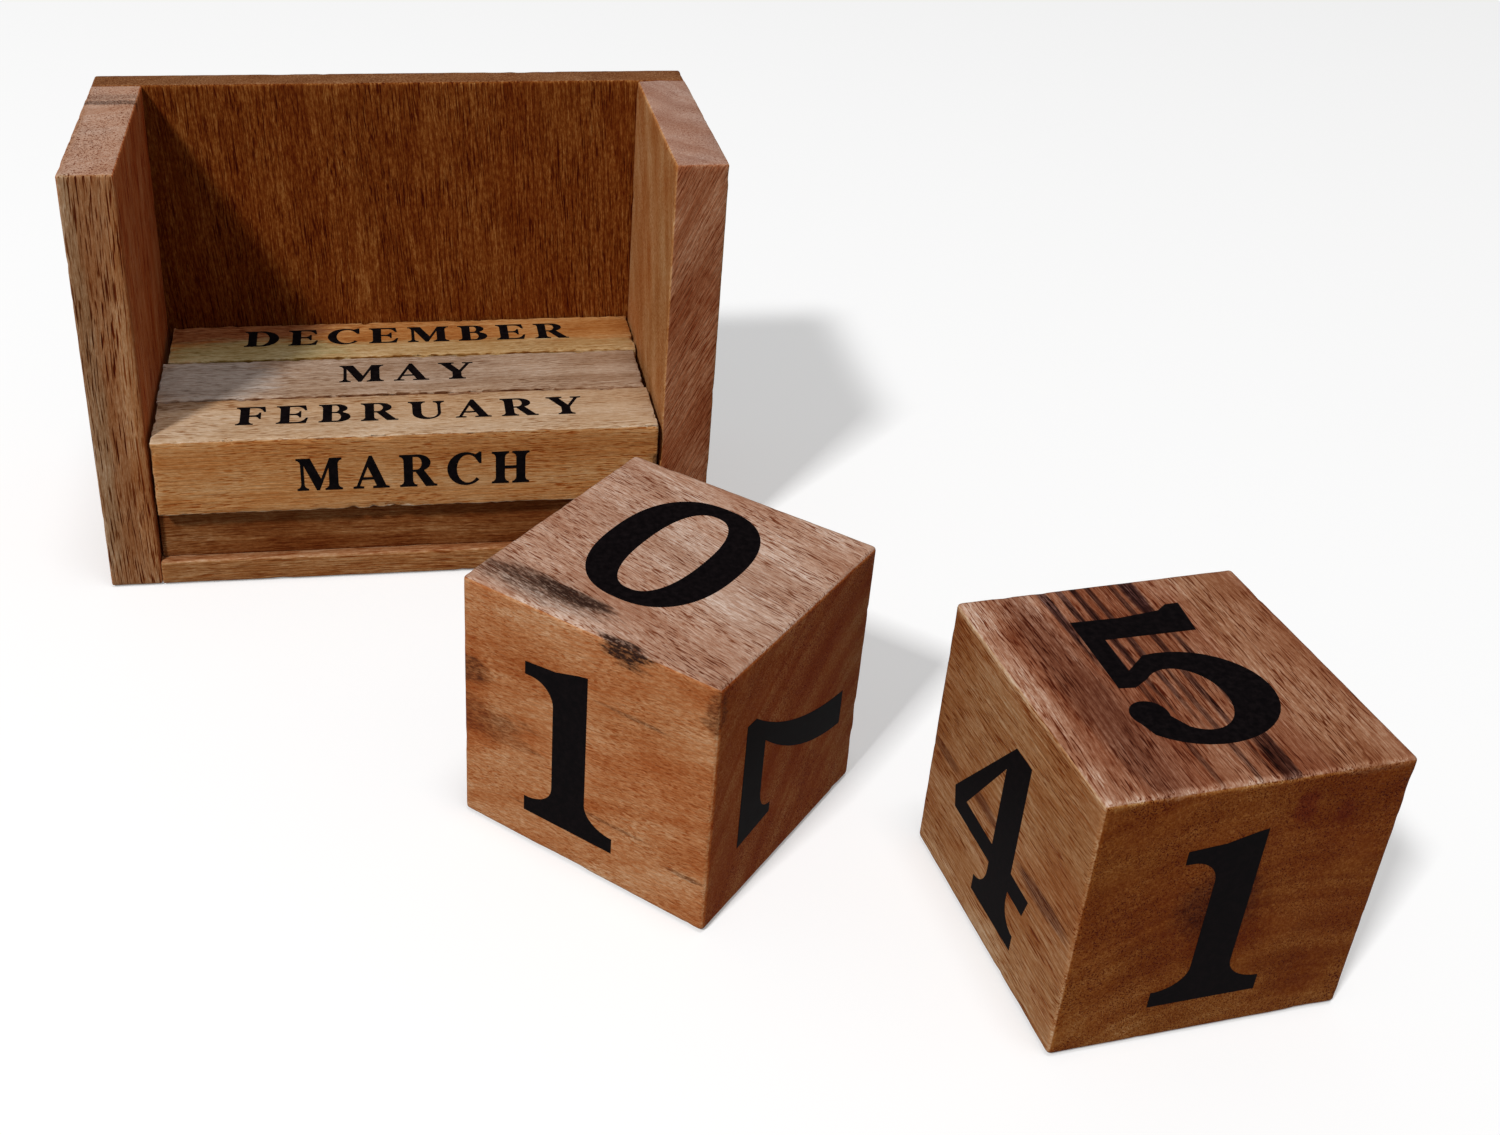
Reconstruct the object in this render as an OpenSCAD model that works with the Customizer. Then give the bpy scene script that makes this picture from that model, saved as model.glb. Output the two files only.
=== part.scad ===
// Wooden block calendar: an open-fronted holder, three month bars that lie in a row on its
// raised floor, and two date cubes that stand on the table in front of it.
// Origin under the middle of the holder, X to the right, Y to the back, Z up.

/* [Date cubes] */
// Edge length of a date cube
cube_size = 50; // [40:0.5:60]
// Rounding of the cubes' sanded edges
cube_ease = 0.8; // [0.3:0.1:2]
// Side play of the pair of cubes between the holder's walls
cube_play = 5; // [1:0.5:10]

/* [Cubes on the table] */
// Left cube's centre, to the right of the holder's middle
left_cube_x = 42; // [0:1:80]
// Room between the holder's front and the left cube as it turns
left_cube_gap = 38.6; // [5:0.1:80]
// Turn of the left cube
left_cube_turn = 47.3; // [0:0.1:90]
// Direction from the left cube to the right cube
pair_bearing = -27.9; // [-45:0.1:0]
// Room between the two cubes as they turn
pair_gap = 9.9; // [2:0.1:40]
// Turn of the right cube
right_cube_turn = 6.6; // [0:0.1:90]

/* [Month bars] */
// Side of a bar's square section
bar_size = 17.5; // [12:0.5:22]
// Rounding of the bars' sanded edges
bar_ease = 0.6; // [0.3:0.1:2]
// Room behind each bar
bar_gap = 0.3; // [0.1:0.1:1]
// Room at each end of a bar
bar_end_gap = 0.8; // [0.3:0.1:2]
// How far the front bar stands proud of the side walls
bar_proud = 1.4; // [0:0.1:3]
// Middle bar's place in its end room, from left to right
middle_bar_set = -0.5; // [-0.9:0.1:0.9]
// Rear bar's place in its end room, from left to right
rear_bar_set = 0.5; // [-0.9:0.1:0.9]

/* [Holder] */
// Thickness of the side walls
side_t = 10.5; // [8:0.5:16]
// Thickness of the back board
back_t = 7; // [5:0.5:12]
// Thickness of the base board
base_t = 5.5; // [4:0.5:10]
// Thickness of the riser board under the bars
riser_t = 12; // [8:0.5:20]
// How far the riser's front lies behind the base board's front
riser_setback = 2; // [0.5:0.1:5]
// Room at each end of the riser
riser_end_gap = 0.4; // [0.1:0.1:1]
// Height of the walls above the cubes when they stand on the bars
wall_rim = 6; // [1:0.5:20]
// Rounding of the boards' sanded edges
board_ease = 0.5; // [0.2:0.1:1.5]

/* [Brads] */
// Diameter of a brad's shank
brad_d = 1.4; // [1:0.1:2]
// Diameter of a brad's head
brad_head_d = 2.4; // [2.2:0.1:3.2]
// Height of a brad's head
brad_head_h = 1; // [0.6:0.1:2]
// Depth of the side and back brads in the second board
brad_bite = 11; // [8:0.5:16]
// Depth of the base brads in the riser
base_brad_bite = 7; // [5:0.5:7]
// Distance of the outer brads from the ends of their row
brad_inset = 13; // [8:0.5:16]
// Room around a brad in its hole
brad_fit = 0.05; // [0.02:0.01:0.1]

/* [Hidden] */
arc_fn = 32;

inner_w = 2 * cube_size + cube_play;
inner_d = 3 * (bar_size + bar_gap) - bar_proud;
floor_z = base_t + riser_t;

holder_w = inner_w + 2 * side_t;
holder_d = inner_d + back_t;
holder_h = floor_z + bar_size + cube_size + wall_rim;
front_y = -holder_d / 2;
inner_back_y = front_y + inner_d;

riser_w = inner_w - 2 * riser_end_gap;
riser_d = inner_d - riser_setback;
riser_y = inner_back_y - riser_d / 2;
riser_mid_z = base_t + riser_t / 2;

bar_len = inner_w - 2 * bar_end_gap;
bar_pitch = bar_size + bar_gap;

cube_reach = cube_size / sqrt(2);
pair_distance = 2 * cube_reach + pair_gap;
left_cube_y = front_y - left_cube_gap - cube_reach;
right_cube_x = left_cube_x + pair_distance * cos(pair_bearing);
right_cube_y = left_cube_y + pair_distance * sin(pair_bearing);

// Rectangle with round corners, centred
module eased_rectangle(w, d, r) {
    square([w - 2 * r, d], center = true);
    square([w, d - 2 * r], center = true);
    for (x = [-1, 1], y = [-1, 1])
        translate([x * (w / 2 - r), y * (d / 2 - r)])
            circle(r, $fn = arc_fn);
}

// Block with all twelve edges eased, centred in X and Y, standing on Z = 0
module eased_block(w, d, h, r) {
    translate([0, 0, h / 2])
        intersection() {
            linear_extrude(h, center = true) eased_rectangle(w, d, r);
            rotate([90, 0, 0]) linear_extrude(d, center = true) eased_rectangle(w, h, r);
            rotate([90, 0, 90]) linear_extrude(w, center = true) eased_rectangle(d, h, r);
        }
}

// Brad that points down, with the top of its head at Z = 0; room widens it into its hole
module brad(length, room = 0) {
    translate([0, 0, -length - room])
        cylinder(d = brad_d + 2 * room, h = length + room, $fn = arc_fn);
    translate([0, 0, -brad_head_h])
        cylinder(d = brad_head_d + 2 * room, h = brad_head_h, $fn = arc_fn);
}

// Brads from below, through the base board into the riser
module base_brad_row(room = 0) {
    for (x = [-1, 1], y = [-1, 1])
        translate([x * (riser_w / 2 - 2 * brad_inset), riser_y + y * (riser_d / 2 - brad_inset), 0])
            rotate([180, 0, 0])
                brad(base_t + base_brad_bite, room);
}

// Brads through one side wall into the end of the riser: side is -1 or 1
module side_brad_row(side, room = 0) {
    for (y = [-1, 1])
        translate([side * holder_w / 2, riser_y + y * (riser_d / 2 - brad_inset), riser_mid_z])
            rotate([0, side * 90, 0])
                brad(side_t + brad_bite, room);
}

// Brads through the back board into the rear edges of the side walls and of the riser
module back_brad_row(room = 0) {
    wall_zs = [floor_z + brad_inset, holder_h - brad_inset];
    for (x = [-1, 1], z = wall_zs)
        translate([x * (holder_w - side_t) / 2, holder_d / 2, z])
            rotate([-90, 0, 0])
                brad(back_t + brad_bite, room);
    for (x = [-1, 1])
        translate([x * (riser_w / 2 - 3 * brad_inset), holder_d / 2, riser_mid_z])
            rotate([-90, 0, 0])
                brad(back_t + brad_bite, room);
}

// Thin floor board between the side walls, its front edge in line with theirs
module base_board() {
    color("burlywood")
        difference() {
            translate([0, front_y + inner_d / 2, 0])
                eased_block(inner_w, inner_d, base_t, board_ease);
            base_brad_row(brad_fit);
        }
}

// Thick board on the base that lifts the month bars, set back behind the base's front
module riser_board() {
    color("saddlebrown")
        difference() {
            translate([0, riser_y, base_t])
                eased_block(riser_w, riser_d, riser_t, board_ease);
            base_brad_row(brad_fit);
            side_brad_row(-1, brad_fit);
            side_brad_row(1, brad_fit);
            back_brad_row(brad_fit);
        }
}

// Back board over the full width, behind the side walls
module back_board() {
    color("sienna")
        difference() {
            translate([0, holder_d / 2 - back_t / 2, 0])
                eased_block(holder_w, back_t, holder_h, board_ease);
            back_brad_row(brad_fit);
        }
}

// Side wall in front of the back board, down to the table: side is -1 or 1
module side_wall(side) {
    difference() {
        translate([side * (holder_w - side_t) / 2, front_y + inner_d / 2, 0])
            eased_block(side_t, inner_d, holder_h, board_ease);
        side_brad_row(side, brad_fit);
        back_brad_row(brad_fit);
    }
}

module left_side() {
    color("tan") side_wall(-1);
}

module right_side() {
    color("rosybrown") side_wall(1);
}

module base_brads() {
    color("dimgray") base_brad_row();
}

module left_side_brads() {
    color("dimgray") side_brad_row(-1);
}

module right_side_brads() {
    color("dimgray") side_brad_row(1);
}

module back_brads() {
    color("dimgray") back_brad_row();
}

// Square bar with a month on each long face, lying on the riser: row 0 is the front one
module month_bar(row, end_set) {
    translate([end_set * bar_end_gap, front_y - bar_proud + bar_size / 2 + row * bar_pitch, floor_z])
        eased_block(bar_len, bar_size, bar_size, bar_ease);
}

module month_bar_front() {
    color("wheat") month_bar(0, 0);
}

module month_bar_middle() {
    color("tan") month_bar(1, middle_bar_set);
}

module month_bar_rear() {
    color("peru") month_bar(2, rear_bar_set);
}

// Cube with a number on each face, standing on the table
module date_cube(x, y, turn) {
    translate([x, y, 0])
        rotate([0, 0, turn])
            eased_block(cube_size, cube_size, cube_size, cube_ease);
}

module date_cube_left() {
    color("peru") date_cube(left_cube_x, left_cube_y, left_cube_turn);
}

module date_cube_right() {
    color("sienna") date_cube(right_cube_x, right_cube_y, right_cube_turn);
}

base_board();
riser_board();
back_board();
left_side();
right_side();
base_brads();
left_side_brads();
right_side_brads();
back_brads();
month_bar_front();
month_bar_middle();
month_bar_rear();
date_cube_left();
date_cube_right();
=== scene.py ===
import math
import bpy
from mathutils import Matrix, Vector


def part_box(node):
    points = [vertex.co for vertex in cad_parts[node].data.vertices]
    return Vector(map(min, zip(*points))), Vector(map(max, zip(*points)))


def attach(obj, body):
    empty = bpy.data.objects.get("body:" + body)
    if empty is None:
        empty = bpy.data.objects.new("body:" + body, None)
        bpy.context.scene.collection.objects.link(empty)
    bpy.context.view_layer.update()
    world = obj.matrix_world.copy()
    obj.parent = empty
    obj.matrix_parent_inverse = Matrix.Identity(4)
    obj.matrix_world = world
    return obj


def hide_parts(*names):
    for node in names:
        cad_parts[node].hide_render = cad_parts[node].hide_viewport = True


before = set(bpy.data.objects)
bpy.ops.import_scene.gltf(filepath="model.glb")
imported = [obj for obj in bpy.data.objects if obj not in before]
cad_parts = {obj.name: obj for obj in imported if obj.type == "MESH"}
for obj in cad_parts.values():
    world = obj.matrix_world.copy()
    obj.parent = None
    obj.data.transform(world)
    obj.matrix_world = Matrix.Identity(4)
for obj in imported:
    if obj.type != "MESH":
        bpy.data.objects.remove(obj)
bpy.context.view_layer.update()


# Base board: a thin sawn board of a brown, open-pored hardwood, grain from left to right.
# It is butted between the side walls and nailed up into the riser from below.
def worn_block(name, size, centre, turn, ease, nibble, bite, cell):
    """A sanded block with worn edges, its place in its mesh.

    Ease is the width of its rounded edges, nibble the depth and bite the breadth of the wear on them,
    and cell the spacing of its mesh.
    """
    bpy.ops.object.select_all(action="DESELECT")
    bpy.ops.mesh.primitive_cube_add(size=1)
    block = bpy.context.object
    block.name = block.data.name = name
    block.scale = size
    bpy.ops.object.transform_apply(location=False, rotation=False, scale=True)
    # split every side into even cells, one direction after the other
    for axis in range(3):
        bpy.ops.object.mode_set(mode="EDIT")
        bpy.ops.mesh.select_mode(type="EDGE")
        bpy.ops.mesh.select_all(action="DESELECT")
        bpy.ops.object.mode_set(mode="OBJECT")
        points = block.data.vertices
        for edge in block.data.edges:
            along = points[edge.vertices[0]].co - points[edge.vertices[1]].co
            edge.select = abs(along[axis]) > 0.9 * along.length
        bpy.ops.object.mode_set(mode="EDIT")
        bpy.ops.mesh.subdivide(number_cuts=max(1, round(size[axis] / cell) - 1))
        bpy.ops.object.mode_set(mode="OBJECT")
    eased = block.modifiers.new("eased edges", "BEVEL")
    eased.width = ease
    eased.segments = 3
    eased.limit_method = "ANGLE"
    eased.angle_limit = math.radians(60)
    bpy.ops.object.modifier_apply(modifier=eased.name)
    # weight 1 on the edges, falling to 0 at three ease widths from them
    rim_width = 3 * ease
    rim = block.vertex_groups.new(name="rim")
    for point in block.data.vertices:
        depths = sorted(size[i] / 2 - abs(point.co[i]) for i in range(3))
        rim.add([point.index], max(0, 1 - depths[1] / rim_width), "REPLACE")
    block.rotation_euler.z = math.radians(turn)
    block.location = centre
    bpy.ops.object.transform_apply(location=True, rotation=True, scale=True)
    # fine unevenness, then a few deeper bites, both inwards only
    for label, reach, depth, low, high in (
        ("sanding", 0.6 * bite, 0.35 * nibble, 0.25, 0.75),
        ("bites", bite, nibble, 0.58, 0.72),
    ):
        clouds = bpy.data.textures.new(label, "CLOUDS")
        clouds.noise_scale = reach
        clouds.noise_depth = 2
        clouds.use_color_ramp = True
        clouds.color_ramp.elements[0].position = low
        clouds.color_ramp.elements[0].color = (0, 0, 0, 1)
        clouds.color_ramp.elements[1].position = high
        clouds.color_ramp.elements[1].color = (1, 1, 1, 1)
        worn = block.modifiers.new(label, "DISPLACE")
        worn.texture = clouds
        worn.texture_coords = "LOCAL"
        worn.vertex_group = "rim"
        worn.mid_level = 0
        worn.strength = -depth
        bpy.ops.object.modifier_apply(modifier=worn.name)
    bpy.ops.object.shade_smooth_by_angle(angle=math.radians(40))
    return block


def add_node(tree, kind, sockets, **settings):
    """A shader node with its settings, values and links."""
    made = tree.nodes.new(kind)
    for key, value in settings.items():
        setattr(made, key, value)
    for key, value in sockets.items():
        if isinstance(value, bpy.types.NodeSocket):
            tree.links.new(value, made.inputs[key])
        else:
            made.inputs[key].default_value = value
    return made


def calc(tree, operation, *values):
    """The result of a Math node."""
    return add_node(tree, "ShaderNodeMath", dict(enumerate(values)), operation=operation).outputs[0]


def vector_calc(tree, operation, *values):
    """The result of a Vector Math node."""
    made = add_node(tree, "ShaderNodeVectorMath", dict(enumerate(values)), operation=operation)
    return made.outputs["Value" if operation == "LENGTH" else "Vector"]


def fade(tree, value, start, end):
    """A smooth step from 0 at start to 1 at end."""
    sockets = {"Value": value, "From Min": start, "From Max": end}
    return add_node(tree, "ShaderNodeMapRange", sockets, interpolation_type="SMOOTHSTEP").outputs[0]


def blend(tree, share, first, second):
    """A mix of two colours."""
    sockets = {0: share, 6: first, 7: second}
    return add_node(tree, "ShaderNodeMix", sockets, data_type="RGBA").outputs[2]


def noise(tree, vector, cells, detail, roughness, shift=(0, 0, 0)):
    """The outputs of a noise texture with so many cells to each unit of its vector."""
    stretched = vector_calc(tree, "MULTIPLY_ADD", vector, cells, shift)
    sockets = {"Vector": stretched, "Scale": 1, "Detail": detail, "Roughness": roughness}
    return add_node(tree, "ShaderNodeTexNoise", sockets).outputs


def shader_group(name, vectors, values, outputs):
    """An empty shader node group with its sockets: the tree, what it is given and its results."""
    tree = bpy.data.node_groups.new(name, "ShaderNodeTree")
    for label in vectors:
        tree.interface.new_socket(label, in_out="INPUT", socket_type="NodeSocketVector")
    for label in values:
        tree.interface.new_socket(label, in_out="INPUT", socket_type="NodeSocketFloat")
    for label in outputs:
        tree.interface.new_socket(label, in_out="OUTPUT", socket_type="NodeSocketFloat")
    return tree, tree.nodes.new("NodeGroupInput").outputs, tree.nodes.new("NodeGroupOutput").inputs


# The wood's figure in millimetres, X along the grain: growth bands about a far pith,
# fibres, pores (dashes along the grain, dots on its ends) and slow changes of tone.
figure, given, result = shader_group(
    "timber figure",
    ("Vector", "Slope", "Pith"),
    ("Ring Pitch", "Wander", "Pore Length", "Pore Width", "Pore Share"),
    ("Rings", "Fibre", "Pores", "Mottle", "Hue", "Grit"),
)
turned = {"Vector": given["Vector"], "Rotation": given["Slope"]}
sloped = add_node(figure, "ShaderNodeVectorRotate", turned, rotation_type="EULER_XYZ").outputs[0]
slow = noise(figure, sloped, cells=(0.012, 0.035, 0.035), detail=2, roughness=0.5)
sway = vector_calc(figure, "SUBTRACT", slow["Color"], (0.5, 0.5, 0.5))
wander = add_node(figure, "ShaderNodeVectorMath", {0: sway, "Scale": given["Wander"]}, operation="SCALE")
swayed = vector_calc(figure, "ADD", sloped, wander.outputs[0])
from_pith = vector_calc(figure, "ADD", swayed, given["Pith"])
across = vector_calc(figure, "MULTIPLY", from_pith, (0, 1, 1))
radius = calc(figure, "DIVIDE", vector_calc(figure, "LENGTH", across), given["Ring Pitch"])
growth = {"W": radius, "Scale": 1, "Detail": 3, "Roughness": 0.6}
rings = add_node(figure, "ShaderNodeTexNoise", growth, noise_dimensions="1D").outputs[0]
fibre = noise(figure, swayed, cells=(0.06, 2.0, 2.0), detail=4, roughness=0.7)[0]
narrow = calc(figure, "DIVIDE", 1, given["Pore Width"])
drawn_out = calc(figure, "DIVIDE", 1, given["Pore Length"])
vessel = add_node(figure, "ShaderNodeCombineXYZ", {"X": drawn_out, "Y": narrow, "Z": narrow}).outputs[0]
vessels = noise(figure, swayed, cells=vessel, detail=1, roughness=0.5)[0]
crowd = noise(figure, swayed, cells=(0.06, 0.16, 0.16), detail=2, roughness=0.5)[0]
crowded = calc(figure, "MULTIPLY", given["Pore Share"], fade(figure, crowd, 0.25, 0.6))
pores = calc(figure, "MULTIPLY", fade(figure, vessels, 0.54, 0.68), crowded)
mottle = noise(figure, swayed, cells=(0.045, 0.11, 0.11), detail=4, roughness=0.6)[0]
hue = noise(figure, swayed, cells=(0.025, 0.06, 0.06), detail=2, roughness=0.5, shift=(7, 3, 5))[0]
grit = noise(figure, swayed, cells=(0.7, 2.6, 2.6), detail=3, roughness=0.7)[0]
figure.links.new(fade(figure, rings, 0.28, 0.72), result["Rings"])
figure.links.new(fade(figure, fibre, 0.3, 0.7), result["Fibre"])
figure.links.new(pores, result["Pores"])
figure.links.new(fade(figure, mottle, 0.3, 0.7), result["Mottle"])
figure.links.new(fade(figure, hue, 0.35, 0.68), result["Hue"])
figure.links.new(fade(figure, grit, 0.3, 0.7), result["Grit"])

# Which side of a block a point lies on, and how near it is to an edge, in millimetres.
seam_start, seam_end = 0.05, 0.35
wear_start, wear_end, tear = 0.6, 0.1, 1.2
sides, given, result = shader_group("block sides", ("Vector", "Half"), (), ("Ends", "Sides", "Edges"))
depth = vector_calc(sides, "SUBTRACT", given["Half"], vector_calc(sides, "ABSOLUTE", given["Vector"]))
deep = add_node(sides, "ShaderNodeSeparateXYZ", {0: depth}).outputs
lesser = calc(sides, "MINIMUM", deep[0], deep[1])
greater = calc(sides, "MAXIMUM", deep[0], deep[1])
middle = calc(sides, "MAXIMUM", lesser, calc(sides, "MINIMUM", greater, deep[2]))
nearer_end = calc(sides, "SUBTRACT", calc(sides, "MINIMUM", deep[1], deep[2]), deep[0])
nearer_side = calc(sides, "SUBTRACT", deep[2], deep[1])
torn = noise(sides, given["Vector"], cells=(0.5, 0.5, 0.5), detail=4, roughness=0.7)[0]
ragged = calc(sides, "MULTIPLY_ADD", torn, 2 * tear, -tear)
worn = calc(sides, "SUBTRACT", middle, ragged)
sides.links.new(fade(sides, nearer_end, seam_start, seam_end), result["Ends"])
sides.links.new(fade(sides, nearer_side, seam_start, seam_end), result["Sides"])
sides.links.new(fade(sides, worn, wear_start, wear_end), result["Edges"])

# One soft ragged patch of dirt, dye or heartwood, and on some pieces of painted light and painted shade.
patch, given, result = shader_group("ragged patch", ("Vector", "Place", "Reach"), ("Ragged",), ("Mask",))
apart = vector_calc(patch, "SUBTRACT", given["Vector"], given["Place"])
away = vector_calc(patch, "LENGTH", vector_calc(patch, "DIVIDE", apart, given["Reach"]))
rough_rim = noise(patch, given["Vector"], cells=(0.12, 0.7, 0.7), detail=4, roughness=0.65)[0]
offset = calc(patch, "MULTIPLY", calc(patch, "SUBTRACT", rough_rim, 0.5), given["Ragged"])
patch.links.new(fade(patch, calc(patch, "ADD", away, offset), 1.0, 0.5), result["Mask"])


def timber(name, centre, turn, half, flats, edges, ends, lean, pith, slope=(0, 0, 0), pitch=5, wander=5,
           pores=0.7, pore_length=5, pore_width=0.23, pore_depth=0.9, bands=0.1, streaks=0.2, mottle=0.14,
           grit=0.14, wear=-0.15, plain=0, patches=(), stains=(), marks=()):
    """Wood with a middle colour for each pair of sides, made deeper or paler by its figure.

    Flats, edges and ends are those colours, and lean is what part of the wood is tinted with. Patches make
    it deeper or paler, stains dye it under its figure, and marks lay soot over it: each is a place and a
    reach in millimetres, the raggedness of its rim, a strength and, for a stain, its dye. On some pieces
    the colour of the upper sides carries a painted sheen, and some patches and stains are painted light
    and painted shade.
    """
    millimetre = 0.001
    soot = (0.032, 0.013, 0.008, 1)
    end_streaks = 0.5
    palest = 0.35
    relief_depth = 0.0002
    smoothest, roughening = 0.7, 0.15
    gloss = 0.06
    material = bpy.data.materials.new(name)
    material.use_nodes = True
    tree = material.node_tree
    shader = tree.nodes["Principled BSDF"]
    place = add_node(tree, "ShaderNodeTexCoord", {}).outputs["Object"]
    grain = add_node(tree, "ShaderNodeMapping", {
        "Vector": place,
        "Location": centre,
        "Rotation": [math.radians(angle) for angle in turn],
        "Scale": (millimetre, millimetre, millimetre),
    }, vector_type="TEXTURE").outputs[0]
    drawn = add_node(tree, "ShaderNodeGroup", {
        "Vector": grain,
        "Slope": [math.radians(angle) for angle in slope],
        "Pith": pith,
        "Ring Pitch": pitch,
        "Wander": wander,
        "Pore Length": pore_length,
        "Pore Width": pore_width,
        "Pore Share": pores,
    }, node_tree=figure).outputs
    side = add_node(tree, "ShaderNodeGroup", {"Vector": grain, "Half": half}, node_tree=sides).outputs

    def spread(spot, reach, rim, strength):
        """How much of one patch lies on each point of this block."""
        sockets = {"Vector": grain, "Place": spot, "Reach": reach, "Ragged": rim}
        mask = add_node(tree, "ShaderNodeGroup", sockets, node_tree=patch).outputs["Mask"]
        return calc(tree, "MULTIPLY", mask, strength)

    colour = blend(tree, side["Sides"], (*flats, 1), (*edges, 1))
    colour = blend(tree, side["Ends"], colour, (*ends, 1))
    leaning = {0: drawn["Hue"], 6: colour, 7: (*lean, 1)}
    colour = add_node(tree, "ShaderNodeMix", leaning, data_type="RGBA", blend_type="MULTIPLY").outputs[2]
    for spot, reach, rim, strength, dye in stains:
        colour = blend(tree, spread(spot, reach, rim, strength), colour, (*dye, 1))
    # the power on the colour: above 1 is deeper and redder, below 1 paler and greyer
    plainer = calc(tree, "MULTIPLY_ADD", side["Sides"], -plain, 1)
    fibres = calc(tree, "MULTIPLY_ADD", drawn["Fibre"], 2 * streaks, -streaks)
    fibres = calc(tree, "MULTIPLY", fibres, plainer)
    power = calc(tree, "MULTIPLY_ADD", drawn["Mottle"], 2 * mottle, -mottle)
    power = calc(tree, "ADD", power, fibres)
    calmer = calc(tree, "MULTIPLY_ADD", side["Ends"], end_streaks - 1, 1)
    power = calc(tree, "MULTIPLY", power, calmer)
    power = calc(tree, "ADD", power, 1 - bands - grit)
    power = calc(tree, "MULTIPLY_ADD", drawn["Rings"], 2 * bands, power)
    power = calc(tree, "MULTIPLY_ADD", drawn["Grit"], 2 * grit, power)
    deeper = calc(tree, "MULTIPLY", plainer, pore_depth)
    power = calc(tree, "MULTIPLY_ADD", drawn["Pores"], deeper, power)
    power = calc(tree, "MULTIPLY_ADD", side["Edges"], wear, power)
    for spot, reach, rim, strength in patches:
        power = calc(tree, "ADD", spread(spot, reach, rim, strength), power)
    power = calc(tree, "MAXIMUM", power, palest)
    colour = add_node(tree, "ShaderNodeGamma", {"Color": colour, "Gamma": power}).outputs[0]
    speckle = calc(tree, "ADD", drawn["Grit"], 0.5)
    for spot, reach, rim, strength in marks:
        share = calc(tree, "MULTIPLY", spread(spot, reach, rim, strength), speckle)
        colour = blend(tree, share, colour, soot)
    tree.links.new(colour, shader.inputs["Base Color"])
    height = calc(tree, "SUBTRACT", drawn["Fibre"], drawn["Pores"])
    relief = add_node(tree, "ShaderNodeBump", {"Height": height, "Strength": 0.5, "Distance": relief_depth})
    tree.links.new(relief.outputs[0], shader.inputs["Normal"])
    polish = calc(tree, "MULTIPLY_ADD", drawn["Fibre"], roughening, smoothest)
    tree.links.new(polish, shader.inputs["Roughness"])
    shader.inputs["Specular IOR Level"].default_value = gloss
    return material


def dress(block, node, body, material):
    """Gives a finished piece its material and its place in the frame."""
    block.data.materials.clear()
    block.data.materials.append(material)
    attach(block, body)
    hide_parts(node)


def box_of(node):
    """Size and middle of a node's box."""
    low, high = (Vector(corner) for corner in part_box(node))
    return high - low, (low + high) / 2


def half_mm(*lengths):
    """Half of each length in metres, as millimetres."""
    return [1000 * length / 2 for length in lengths]


board_edges = dict(ease=0.0005, nibble=0.0002, bite=0.006, cell=0.0015)
lying = (0, 0, 0)
size, centre = box_of("base_board")
base = worn_block("sawn_base_board", size, centre, 0, **board_edges)
dress(base, "base_board", "holder", timber(
    "base board wood", centre, lying, half_mm(*size),
    flats=(0.36, 0.15, 0.06), edges=(0.371, 0.163, 0.0573), ends=(0.30, 0.12, 0.05),
    lean=(1, 0.9, 0.8), pith=(0, 30, 60),
))

# Riser board: a thicker board on the base, set back behind its front edge, that lifts the month
# bars. Same wood, coloured darker, most of all on its front face, held by brads through the side walls and
# the back.
size, centre = box_of("riser_board")
riser = worn_block("sawn_riser_board", size, centre, 0, **board_edges)
dress(riser, "riser_board", "holder", timber(
    "riser board wood", centre, lying, half_mm(*size),
    flats=(0.34, 0.13, 0.05), edges=(0.238, 0.083, 0.0226), ends=(0.26, 0.10, 0.04),
    lean=(1, 0.9, 0.8), pith=(0, 45, -50),
    pores=0.5, bands=0.14, streaks=0.13, mottle=0.2,
))

# Side walls: two thick boards of the same hardwood, grain upright, butted in front of the back
# board and pinned to the riser. Their sawn upper ends are coloured pale, a painted sheen from the
# light above, and the left one has a sooty stripe.
upright = (0, -90, 0)
size, centre = box_of("left_side")
left = worn_block("sawn_left_wall", size, centre, 0, **board_edges)
dress(left, "left_side", "holder", timber(
    "left wall wood", centre, upright, half_mm(size.z, size.y, size.x),
    # the pale ends carry a painted sheen from the light above
    flats=(0.55, 0.18, 0.058), edges=(0.35, 0.165, 0.072), ends=(0.495, 0.313, 0.23),
    lean=(1, 0.9, 0.82), pith=(0, 50, 30),
    pores=1.0, pore_length=7, pore_width=0.3, pore_depth=1.7, streaks=0.14,
    stains=[
        # a browner outer face, then a greyer outer half of the front edge and a redder inner half, a painted
        # highlight along the inner arris
        ((0, 0, 6), (90, 60, 3), 0.2, 0.8, (0.36, 0.16, 0.07)),
        ((0, -26, 4.5), (60, 3, 4.2), 1.0, 0.5, (0.29, 0.18, 0.095)),
        ((0, -26, -4.5), (60, 3, 3.6), 1.0, 0.5, (0.47, 0.21, 0.08)),
    ],
    marks=[
        # the stripe across the upper end and its paler border
        ((45.5, 15, 0), (3, 1.7, 14), 0.8, 0.6),
        ((45.5, 18.5, 1), (3, 2.4, 12), 0.8, 0.3),
    ],
))
size, centre = box_of("right_side")
right = worn_block("sawn_right_wall", size, centre, 0, **board_edges)
dress(right, "right_side", "holder", timber(
    "right wall wood", centre, upright, half_mm(size.z, size.y, size.x),
    # the pale ends carry a painted sheen from the light above
    flats=(0.474, 0.215, 0.0765), edges=(0.339, 0.132, 0.0625), ends=(0.412, 0.246, 0.186),
    lean=(1, 0.9, 0.82), pith=(0, -45, 40), slope=(0, -25, 0),
    pores=0.6, streaks=0.11,
))

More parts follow.
